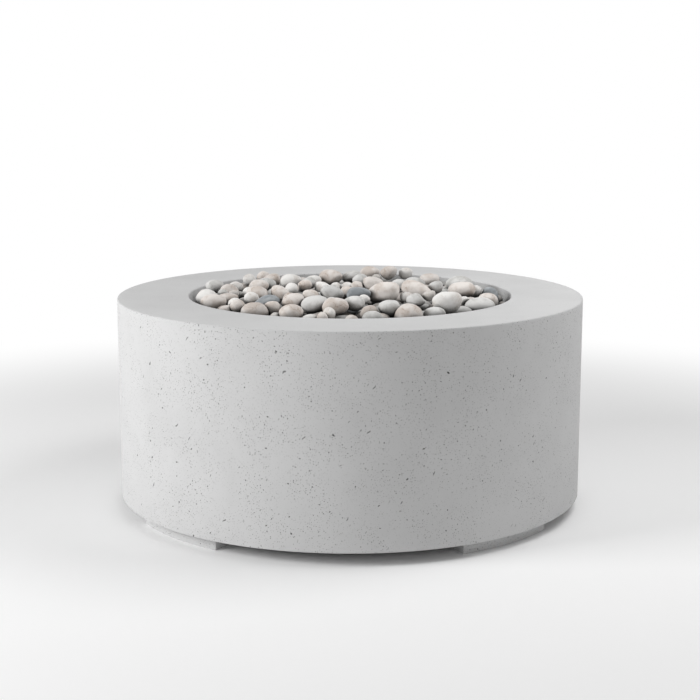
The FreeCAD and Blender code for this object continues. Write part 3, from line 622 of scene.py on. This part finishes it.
def pebbleMesh(clouds, faces, chance):    # one mesh of many pebbles, each with a shade of its own
    polygons, shades = [], []
    for count, cloud in enumerate(clouds):
        polygons.append(faces + count * len(cloud))
        shades += [chance.random()] * len(cloud)
    mesh = newMesh(np.concatenate(clouds).tolist(), np.concatenate(polygons).tolist())
    shade = mesh.attributes.new("stoneShade", "FLOAT", "POINT")
    shade.data.foreach_set("value", np.array(shades, np.float32))
    mesh.shade_smooth()
    return mesh


def lowered(cloud, top):    # pressed down where its crown would stand above the highest CAD stone
    low, high = cloud[:, 2].min(), cloud[:, 2].max()
    if high > top:
        cloud[:, 2] = low + (cloud[:, 2] - low) * (top - low) / (high - low)
    return cloud


def planeBetween(first, second):    # the plane midway between two CAD stones, as a direction and a distance
    between = (second[:, None] - first[None]).reshape(-1, 3)
    way = between.mean(0)
    for _ in range(300):
        step = between[np.argmin(between @ way)] - way
        gain = -(way @ step)
        if gain < 1e-9:
            break
        way = way + step * min(1.0, gain / (step @ step))
    way = way / np.linalg.norm(way)
    return way, ((first @ way).max() + (second @ way).min()) / 2


def flattened(cloud, way, limit):    # eased back to a plane, so that a pebble rests flat on its neighbour
    room = pebble["press"] - pebble["clear"]
    past = np.maximum(cloud @ way - limit + pebble["press"], 0)
    return cloud - (past - room * (1 - np.exp(-past / room)))[:, None] * way


def settle(clouds, parts):    # every pebble flattened where it meets another
    hearts = [cloud.mean(0) for cloud in clouds]
    halves = [np.ptp(cloud, axis=0).max() / 2 for cloud in clouds]
    pairs = []
    for i in range(len(parts)):
        for j in range(i):
            if np.linalg.norm(hearts[i] - hearts[j]) < halves[i] + halves[j] + pebble["look"]:
                pairs.append((j, i, *planeBetween(parts[j], parts[i])))
    for _ in range(pebble["presses"]):
        for i, j, way, limit in pairs:
            if (clouds[i] @ way).max() > limit:
                clouds[i] = flattened(clouds[i], way, limit)
            if (clouds[j] @ way).min() < limit:
                clouds[j] = flattened(clouds[j], -way, -limit)
    return clouds


sphere, sphereFaces = unitSphere(pebble["detail"])
chance = random.Random(pebble["seed"])
parts, tones = [], []
for tone in stoneLooks:
    own = looseParts("stones_" + tone)
    parts += own
    tones += [tone] * len(own)
highest = cadHigh.z - pebble["underTop"]
laid = settle([lowered(makePebble(part, sphere, chance), highest) for part in parts], parts)
for tone in stoneLooks:
    mesh = pebbleMesh([cloud for cloud, own in zip(laid, tones) if own == tone], sphereFaces, chance)
    addPiece("rolledStones." + tone, mesh, tone, ["stones_" + tone])
print("stones made:", len(laid))


# Small stones that lie on the lava rock in the gaps between the others
smallStones = {
    "longest": 46 * mm,
    "shortest": 17 * mm,
    "width": (0.72, 0.92),     # against the length
    "height": (0.5, 0.68),
    "tries": 5200,
    "detail": 3,
    "sink": 1.5 * mm,          # into the lava rock's roughness
    "clear": 0.8 * mm,
    "fromWall": 1 * mm,
    "tones": ("pale", "warm", "grey", "warm", "pale"),
    "seed": 5,
}


def isFree(middle, turn, half, laid, hearts, reach):    # whether an ellipsoid stays out of the laid stones
    near = np.linalg.norm(hearts - middle, axis=1) < reach + half.max()
    for index in np.flatnonzero(near):
        cloud, heart = laid[index], hearts[index]
        if (np.square((cloud - middle) @ turn / half).sum(1) < 1).any():
            return False
        spokes, way = cloud - heart, middle - heart
        length = np.linalg.norm(spokes, axis=1)
        if np.linalg.norm(way) < length[np.argmax(spokes @ way / length)]:
            return False
    return True


def fillGaps(laid):
    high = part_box("lava_rock")[1]
    chance = random.Random(smallStones["seed"])
    ball = unitSphere(1)[0]
    sphere = unitSphere(smallStones["detail"])[0]
    laid, first = list(laid), len(laid)
    hearts = np.array([cloud.mean(0) for cloud in laid])
    reach = max(np.linalg.norm(cloud - heart, axis=1).max() for cloud, heart in zip(laid, hearts))
    for length in np.linspace(smallStones["longest"], smallStones["shortest"], smallStones["tries"], False):
        width, height = chance.uniform(*smallStones["width"]), chance.uniform(*smallStones["height"])
        half = np.array([1, width, height]) * length / 2
        out = (high.x - half[0] - smallStones["fromWall"]) * sqrt(chance.random())
        bearing, yaw = chance.uniform(0, 2 * pi), chance.uniform(0, pi)
        level = high.z - smallStones["sink"] + half[2]
        middle = np.array([out * cos(bearing), out * sin(bearing), level])
        turn = np.array([[cos(yaw), -sin(yaw), 0], [sin(yaw), cos(yaw), 0], [0, 0, 1]])
        if isFree(middle, turn, half + smallStones["clear"], laid, hearts, reach):
            cloud = makePebble(ball * half @ turn.T + middle, sphere, chance)
            laid.append(cloud)
            hearts = np.vstack([hearts, cloud.mean(0)])
    return laid[first:]


small, smallFaces = fillGaps(laid), unitSphere(smallStones["detail"])[1]
turns = smallStones["tones"] * len(small)    # the tones take turns
for tone in sorted(set(smallStones["tones"])):
    clouds = [cloud for cloud, own in zip(small, turns) if own == tone]
    addPiece("smallStones." + tone, pebbleMesh(clouds, smallFaces, chance), tone)
print("small stones made:", len(small))


# Crushed lava rock: a rough bed with loose lumps over it, dark between the stones
lavaBed = {
    "lump": (7 * mm, 12 * mm),
    "spacing": 15 * mm,
    "stray": 0.4,              # of the spacing
    "tilt": 2 * mm,            # how far a lump lies above or below the bed
    "stretch": (0.7, 1.2),
    "crush": (1.6, 0.45),      # waves on a lump's radius, and how high they are
    "swell": 16 * mm,          # the size of the bed's own waves,
    "relief": 4 * mm,          # and how high they are
    "sink": 5 * mm,
    "rings": 26,
    "segments": 96,
    "seed": 11,
}


def makeLavaBed():
    low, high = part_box("lava_rock")
    radius, level = high.x, high.z - lavaBed["sink"]
    chance = random.Random(lavaBed["seed"])
    whole = bmesh.new()
    rings = []
    for i in range(1, lavaBed["rings"] + 1):
        r = radius * i / lavaBed["rings"]
        ring = []
        for j in range(lavaBed["segments"]):
            a = 2 * pi * j / lavaBed["segments"]
            x, y = r * cos(a), r * sin(a)
            z = level + noise.noise(Vector((x, y, 0)) / lavaBed["swell"]) * lavaBed["relief"]
            ring.append(whole.verts.new((x, y, z)))
        rings.append(ring)
    rings.append([whole.verts.new((v.co.x, v.co.y, low.z)) for v in rings[-1]])
    whole.faces.new(rings[0])
    for inner, outer in zip(rings, rings[1:]):
        for j in range(len(inner)):
            k = (j + 1) % len(inner)
            whole.faces.new((inner[j], outer[j], outer[k], inner[k]))
    whole.faces.new(rings[-1][::-1])
    ball, ballFaces = unitSphere(2)
    spacing, stray, tilt = lavaBed["spacing"], lavaBed["stray"], lavaBed["tilt"]
    waves, depth = lavaBed["crush"]
    cells = int(radius / spacing)
    for i in range(-cells, cells + 1):
        for j in range(-cells, cells + 1):
            x = (i + chance.uniform(-stray, stray)) * spacing
            y = (j + chance.uniform(-stray, stray)) * spacing
            size = chance.uniform(*lavaBed["lump"])
            if hypot(x, y) + size > radius:
                continue
            seed = Vector((chance.uniform(0, 90), chance.uniform(0, 90), chance.uniform(0, 90)))
            stretch = np.array([chance.uniform(*lavaBed["stretch"]) for _ in range(3)]) * size
            centre = np.array([x, y, level + chance.uniform(-tilt, tilt)])
            corners = []
            for p in ball:
                crushed = 1 + depth * noise.noise(Vector(p) * waves + seed)
                corners.append(whole.verts.new(p * stretch * crushed + centre))
            for face in ballFaces:
                whole.faces.new([corners[k] for k in face])
    return written(whole)


addPiece("lavaRock", makeLavaBed(), "lava", ["lava_rock"])
print("lava rock made")


# Key valve: forged brass body on a threaded neck, with a spun chrome plate over the wall
valve = {
    "block": 34 * mm,
    "blockEase": 3.0 * mm,
    "length": 66 * mm,
    "outletRadius": 9 * mm,
    "outletBore": 5 * mm,
    "outletLength": 14 * mm,
    "outletThread": 0.6 * mm,  # how deep its thread is
    "inletRadius": 9.25 * mm,
    "inletDepth": 17 * mm,
    "neckRadius": 10.9 * mm,
    "neckBore": 8.2 * mm,
    "neckStart": 1 * mm,       # inside the block
    "threadPitch": 1.8 * mm,
    "threadDepth": 0.7 * mm,
    "threadCrest": 0.12,       # half a crest's share of the pitch
    "threadEase": 0.3 * mm,
    "plateRadius": 30 * mm,
    "plateEdge": 1.3 * mm,     # the rolled edge's thickness
    "plateHigh": 4.0 * mm,
    "plateStep": 15 * mm,      # radius of the small flat round the neck
    "plateHole": 11.1 * mm,
    "plateEase": 0.4 * mm,
    "plateFoot": 0.3 * mm,     # its flat underside ends this far inside the rim
    "plateHollow": 1.8,        # 1 is a straight flank
}
keyLow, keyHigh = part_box("gas_key")
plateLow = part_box("escutcheon")[0]
valveLow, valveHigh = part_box("valve_body")


def threadOutline(radius, bore, length, depth):    # a tube whose outside is cut in rings, like a thread
    pitch, ease = valve["threadPitch"], valve["threadEase"]
    crest = valve["threadCrest"] * pitch
    outline = [(bore, 0), (radius - depth, 0)]
    count = max(1, int(length / pitch))
    for i in range(count):
        z = (i + 0.5) * length / count
        outline += [(radius, z - crest), (radius, z + crest)]
        if i + 1 < count:
            outline.append((radius - depth, z + 0.5 * pitch))
    return outline + [(radius - depth, length), (bore + ease, length), (bore, length - ease)]


def makeValveBody():
    half = valve["block"] / 2
    centre = Vector((0, valveLow.y + half, drum["valveHeight"]))
    corner = Vector((half, half, valve["length"] / 2))
    low = centre - corner
    block = placed(boxMesh(low, centre + corner))
    ease = block.modifiers.new("ease", "BEVEL")
    ease.width, ease.segments = valve["blockEase"], 4
    inlet, depth = valve["inletRadius"], valve["inletDepth"]
    bore = [(0, 0), (inlet, 0), (inlet, depth), (0, depth)]
    bore = turnedPart(bore, 48, (0, centre.y, low.z - 0.01 * mm), (0, 0, 1))    # from just outside
    body = carved(applied(block), [bore])
    length = valve["outletLength"]
    outlet = threadOutline(valve["outletRadius"], valve["outletBore"], length, valve["outletThread"])
    outlet = turnedPart(outlet, 48, (0, centre.y, valveHigh.z - length), (0, 0, 1))
    start = centre.y + half - valve["neckStart"]
    neck = threadOutline(valve["neckRadius"], valve["neckBore"], valveHigh.y - start, valve["threadDepth"])
    neck = turnedPart(neck, 64, (0, start, centre.z), (0, 1, 0))
    return smoothed(joined(body, outlet, neck), 40)


def makePlate():    # spun sheet: a rolled edge, a hollow flank and a small flat round the neck
    edge, high, step = valve["plateEdge"], valve["plateHigh"], valve["plateStep"]
    rim, hole, ease = valve["plateRadius"], valve["plateHole"], valve["plateEase"]
    outline = [(hole, 0), (rim - valve["plateFoot"], 0)]
    outline += arcPoints((rim - edge / 2, edge / 2), edge / 2, -60, 90, 8)
    flank, foot = rim - edge / 2 - 2 * ease, edge * 0.75
    for i in range(13):
        t = i / 12
        outline.append((flank + (step - flank) * t, foot + (high - foot) * t ** valve["plateHollow"]))
    outline += [(step - 2 * ease, high), (hole + ease, high), (hole, high - ease)]
    return smoothed(turnedPart(outline, 128, (0, plateLow.y, drum["valveHeight"]), (0, 1, 0)), 40)


# The loose key: a turned shaft with a square socket, and a looped bow to hold it by
key = {
    "shaftRadius": 6.8 * mm,
    "collarRadius": 5.6 * mm,
    "socket": 8.3 * mm,
    "socketDepth": 16 * mm,
    "shoulder": (4 * mm, 7 * mm),    # past the socket, where the shaft narrows
    "bead": 1.2 * mm,          # a ring's radius,
    "beadFromBow": 7 * mm,     # and how far it lies from the bow
    "beadRoot": 2 * mm,        # where its sides run out, on either hand
    "waist": (0.6 * mm, 2.2 * mm),    # the neck loses this after the bead, and this at the bow
    "intoBow": 1 * mm,
    "bowHeight": 30 * mm,
    "bowRim": 8 * mm,
    "bowThickness": 4.5 * mm,
    "bowCorner": 1.6 * mm,
    "ease": 0.7 * mm,
}


def makeKey():
    middle = Vector((0, keyHigh.y - key["bowHeight"] / 2, drum["valveHeight"]))
    turn = (key["bowHeight"] - key["bowRim"]) / 2
    side = (keyHigh.x - keyLow.x) / 2 - key["bowRim"] / 2 - turn
    path = []
    for end, first in ((1, -90), (-1, 90)):
        for i in range(25):
            a = radians(first + 180 * i / 24)
            path.append(middle + Vector((end * side + turn * cos(a), turn * sin(a), 0)))
    half, thick, corner = key["bowRim"] / 2, key["bowThickness"] / 2, key["bowCorner"]
    section = []
    for a, b, first in ((1, 1, 0), (-1, 1, 90), (-1, -1, 180), (1, -1, 270)):
        section += arcPoints((a * (half - corner), b * (thick - corner)), corner, first, first + 90, 4)
    bow = sweptMesh(path, Vector((0, 0, 1)), section, closed=True)
    length = middle.y - turn - keyLow.y
    radius, neck, ease = key["shaftRadius"], key["collarRadius"], key["ease"]
    outline = [(0, 0), (radius - ease, 0)] + arcPoints((radius - ease, ease), ease, -90, 0, 4)
    socket, bead, root = key["socketDepth"], length - key["beadFromBow"], key["beadRoot"]
    shoulder, end = key["shoulder"], length + key["intoBow"]
    outline += [(radius, socket + shoulder[0]), (neck, socket + shoulder[1]), (neck, bead - root)]
    outline += arcPoints((neck, bead), key["bead"], -90, 90, 8)
    outline += [(neck - key["waist"][0], bead + root), (neck - key["waist"][1], end), (0, end)]
    shaft = turnedPart(outline, 64, (0, keyLow.y, middle.z), (0, 1, 0))
    reach, mouth = key["socket"] / 2, keyLow.y - 1 * mm    # the cutter begins outside
    hole = boxMesh((-reach, mouth, middle.z - reach), (reach, keyLow.y + socket, middle.z + reach))
    return smoothed(joined(carved(shaft, [hole]), bow), 40)


# Under the pan: cast elbow, air mixer, threaded nipple and the flexible stainless gas line
fittings = {
    "elbowRadius": 12.6 * mm,
    "elbowBand": 15 * mm,
    "elbowBandLength": 7 * mm,
    "elbowBandEase": 1 * mm,
    "elbowDrop": 20 * mm,      # from its top to the middle of its lower arm
    "elbowTurn": 15 * mm,
    "elbowReach": 30 * mm,
    "nippleBore": 7.7 * mm,
    "mixerWall": 3 * mm,
    "mixerWindow": (20 * mm, 11 * mm),
    "mixerWaist": 0.8 * mm,    # how much thinner it is between its bands,
    "mixerBand": (8 * mm, 9 * mm),    # and where a band starts to end and has ended
    "lineRadius": 6.5 * mm,
    "lineRib": 0.7 * mm,
    "linePitch": 4.2 * mm,
    "lineTurn": 78 * mm,
    "nutEase": 1.2 * mm,
}


def makeElbow():
    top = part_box("elbow")[1].z
    radius, band, end = fittings["elbowRadius"], fittings["elbowBandLength"], fittings["elbowReach"]
    turn, level, ease = fittings["elbowTurn"], top - fittings["elbowDrop"], fittings["elbowBandEase"]
    wide = fittings["elbowBand"] / radius
    path = [Vector((0, 0, z)) for z in (top, top - band, top - band - ease)]
    for i in range(13):
        a = radians(180 + 90 * i / 12)
        path.append(Vector((0, turn + turn * cos(a), level + turn + turn * sin(a))))
    path += [Vector((0, y, level)) for y in (end - band - ease, end - band, end)]
    scales = [wide] * 2 + [1.0] * 15 + [wide] * 2
    return smoothed(sweptMesh(path, Vector((1, 0, 0)), circle(radius, 48), scales=scales), 40)


def makeMixer():
    low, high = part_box("air_mixer")
    radius, level = high.x, (low.z + high.z) / 2
    bore, waist = radius - fittings["mixerWall"], radius - fittings["mixerWaist"]
    start, length = fittings["elbowReach"], high.y - fittings["elbowReach"]
    band, bandEnd = fittings["mixerBand"]
    outline = [(bore, 0), (radius, 0), (radius, band), (waist, bandEnd), (waist, length - bandEnd),
               (radius, length - band), (radius, length), (bore, length)]
    tube = turnedPart(outline, 64, (0, start, level), (0, 1, 0))
    long, wide = (v / 2 for v in fittings["mixerWindow"])
    middle = start + length / 2
    across = boxMesh((-2 * radius, middle - long, level - wide), (2 * radius, middle + long, level + wide))
    upright = boxMesh((-wide, middle - long, level - 2 * radius), (wide, middle + long, level + 2 * radius))
    return smoothed(carved(tube, [across, upright]), 40)


def makeNipple():
    low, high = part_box("gas_nipple")
    outline = threadOutline(high.x, fittings["nippleBore"], high.z - low.z, valve["threadDepth"])
    return smoothed(turnedPart(outline, 48, (0, 0, low.z), (0, 0, 1)), 40)


def makeGasLine():    # corrugated tube: up from the valve, round a wide bend and forward to the jet
    low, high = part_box("gas_line")
    radius, turn = fittings["lineRadius"], fittings["lineTurn"]
    back, level = high.y - radius, high.z - radius
    bends = [Vector((0, back, low.z)), Vector((0, back, level - turn))]
    for i in range(1, 24):
        a = radians(90 * i / 24)
        bends.append(Vector((0, back - turn + turn * cos(a), level - turn + turn * sin(a))))
    bends += [Vector((0, back - turn, level)), Vector((0, low.y, level))]
    path, step = [bends[0]], fittings["linePitch"] / 4
    for start, end in zip(bends, bends[1:]):
        count = max(1, round((end - start).length / step))
        path += [start.lerp(end, i / count) for i in range(1, count + 1)]
    rib = fittings["lineRib"] / radius
    scales = [1.0 - rib * (0.5 - 0.5 * cos(pi * i / 2)) for i in range(len(path))]
    return smoothed(sweptMesh(path, Vector((1, 0, 0)), circle(radius, 24), scales=scales), 60)


addPiece("valveBody", makeValveBody(), "turnedBrass", ["valve_body"])
addPiece("wallPlate", makePlate(), "chromePlate", ["escutcheon"])
addPiece("gasKey", makeKey(), "chromePlate", ["gas_key"], "key")
addPiece("castElbow", makeElbow(), "turnedBrass", ["elbow"])
addPiece("airMixer", makeMixer(), "turnedBrass", ["air_mixer"])
addPiece("gasNipple", makeNipple(), "zincPlatedSteel", ["gas_nipple"])
addPiece("gasLine", makeGasLine(), "brushedStainless", ["gas_line"])
eased = {
    "valve_cap": ("turnedBrass", "valve_brass"),
    "valve_lock_nut": ("turnedBrass", "valve_brass"),
    "flare_nuts": ("turnedBrass", "brass_fittings"),
    "gas_jet": ("turnedBrass", "brass_fittings"),
    "pan_lock_nut": ("zincPlatedSteel", "galvanised_steel"),
    "foot_bolts": ("zincPlatedSteel", "galvanised_steel"),
}
for node, (finish, slot) in eased.items():
    addPiece(node.replace("_", "."), easedCopy(node, fittings["nutEase"]), finish, [node])
print("valve, key and fittings made")


# CAD pieces that keep their own shape
kept = dict.fromkeys(("burner_pan", "ring_burner", "burner_standoffs", "pan_washer"), "brushedStainless")
kept.update(threaded_inserts="zincPlatedSteel", valve_plug="turnedBrass")
for node, metal in kept.items():
    for holder in nodes[node].material_slots:
        holder.material = materials[metal]


# Floor, background, lamps and camera
stageLook = {"floorSeen": "#FCFCFC", "floorBounce": "#F8F8F8", "ambient": "#FFFFFF", "ambientStrength": 0.365,
             "floorSize": 60.0, "whiteFrom": 1.1, "whiteTo": 2.4}


def seenDirectly(add):    # 1 for rays from the camera, a mirror or glass, and 0 for light on the object
    path = add("LightPath")
    first = {0: path.outputs["Is Camera Ray"], 1: path.outputs["Is Glossy Ray"]}
    first = add("Math", first, "MAXIMUM")
    return add("Math", {0: first, 1: path.outputs["Is Transmission Ray"]}, "MAXIMUM")


def makeFloor():
    material, add, place = newMaterial("paleFloor")
    seen = seenDirectly(add)
    colour = {0: seen, 6: hexColour(stageLook["floorBounce"]), 7: hexColour(stageLook["floorSeen"])}
    matt = add("BsdfDiffuse", {"Color": add("Mix", colour, **inColour)})
    white = add("Emission", {"Color": (1, 1, 1, 1), "Strength": 1.0})
    away = add("VectorMath", {0: place}, "LENGTH")
    far = add("MapRange", {"Value": away, "From Min": stageLook["whiteFrom"],
                           "From Max": stageLook["whiteTo"]}, **smooth)
    far = add("Math", {0: seen, 1: far}, "MULTIPLY")
    mixed = add("MixShader", {0: far, 1: matt, 2: white})
    add("OutputMaterial", {"Surface": mixed})
    half = stageLook["floorSize"] / 2
    corners = [(-half, -half, 0), (half, -half, 0), (half, half, 0), (-half, half, 0)]
    mesh = newMesh(corners, [(0, 1, 2, 3)])
    mesh.materials.append(material)
    floor = placed(mesh, "floor")
    floor.location.z = cadLow.z


def makeWorld():
    world = bpy.data.worlds.new("studio")
    bpy.context.scene.world = world
    world.use_nodes = True
    world.node_tree.nodes.clear()
    add = partial(addNode, world.node_tree)
    ambient = add("Background", {"Color": hexColour(stageLook["ambient"]),
                                 "Strength": stageLook["ambientStrength"]})
    white = add("Background", {"Color": (1, 1, 1, 1), "Strength": 1.0})
    mixed = add("MixShader", {0: seenDirectly(add), 1: ambient, 2: white})
    add("OutputWorld", {"Surface": mixed})


# Soft boxes: a low key from the left, and a small one over the right side that lifts the top there
lamps = {
    "keyLeft": {"at": (-3.39, -1.51, 1.75), "aim": (0.0, 0.0, 0.25), "size": 1.8, "watts": 99},
    "overRight": {"at": (1.25, 0.0, 2.1), "aim": (0.32, 0.0, 0.25), "size": 1.2, "watts": 22},
}


def makeLamp(name, look):
    lamp = bpy.data.lights.new(name, "AREA")
    lamp.shape, lamp.size, lamp.energy = "SQUARE", look["size"], look["watts"]
    holder = placed(lamp, name)
    holder.location = look["at"]
    holder.rotation_euler = (Vector(look["aim"]) - Vector(look["at"])).to_track_quat("-Z", "Y").to_euler()
    holder.visible_camera = False


camera = {"lens": 75.8, "distance": 3.383, "height": 0.963, "bearing": 2.95, "pitch": 10.29}


def makeCamera():
    data = bpy.data.cameras.new("camera")
    data.lens, data.sensor_width, data.sensor_fit = camera["lens"], 36, "HORIZONTAL"
    holder = placed(data, "camera")
    bearing, away = radians(camera["bearing"]), camera["distance"]
    holder.location = (away * sin(bearing), -away * cos(bearing), camera["height"])
    holder.rotation_euler = (radians(90 - camera["pitch"]), 0, bearing)
    bpy.context.scene.camera = holder


makeFloor()
makeWorld()
for name, look in lamps.items():
    makeLamp(name, look)
makeCamera()
bpy.context.scene.view_settings.view_transform = "Standard"
print("stage, lamps and camera made")
